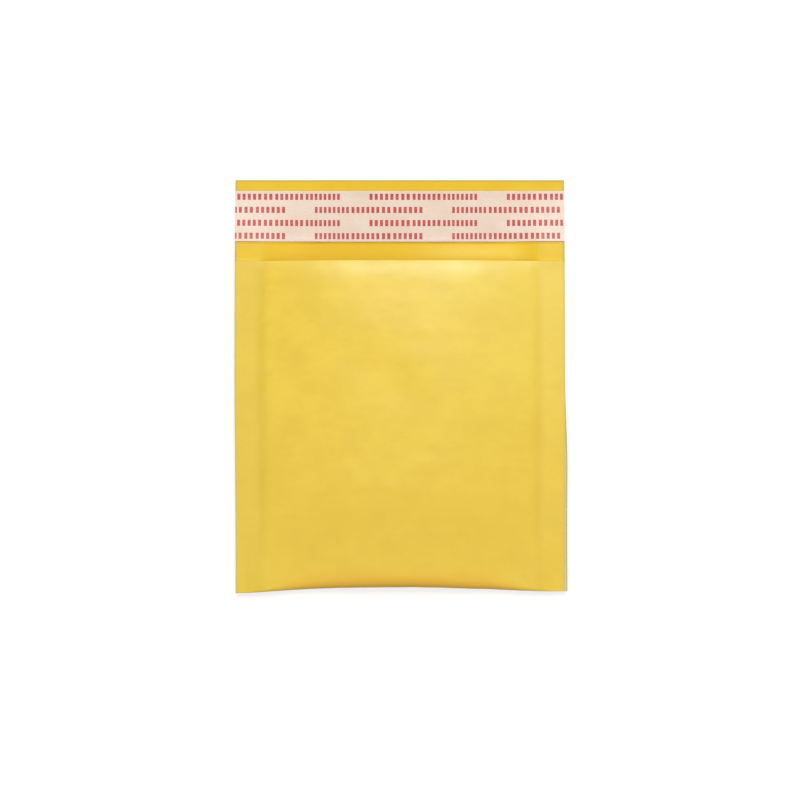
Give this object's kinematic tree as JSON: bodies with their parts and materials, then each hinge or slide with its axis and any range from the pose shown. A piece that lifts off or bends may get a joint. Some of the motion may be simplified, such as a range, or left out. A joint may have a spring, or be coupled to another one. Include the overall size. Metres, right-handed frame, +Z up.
{
  "type": "padded envelope",
  "caption": "Bubble-lined kraft envelope lying flat and empty, with sealed sides, a folded bottom and an open flap that carries an adhesive band under a peel-off liner.",
  "frame": {"origin": "on the table, under the middle of the outline of the envelope with its flap open", "axes": "+X across the envelope, +Y from the bottom fold to the edge of the flap, +Z up from the table; the front panel faces up"},
  "size_m": [0.1656, 0.206, 0.0145],
  "materials": {
    "yellow_kraft": "smooth machine-finished kraft, faintly mottled",
    "bubble_film": "clear polyethylene film, glossy",
    "adhesive": "tacky pale amber",
    "release_liner": "cream silicone-coated paper with plain red marks"
  },
  "bodies": {
    "root": {"kraft_sheet": "yellow_kraft", "bubble_lining": "bubble_film", "adhesive_band": "adhesive", "release_liner": "release_liner"}
  },
  "joints": []
}
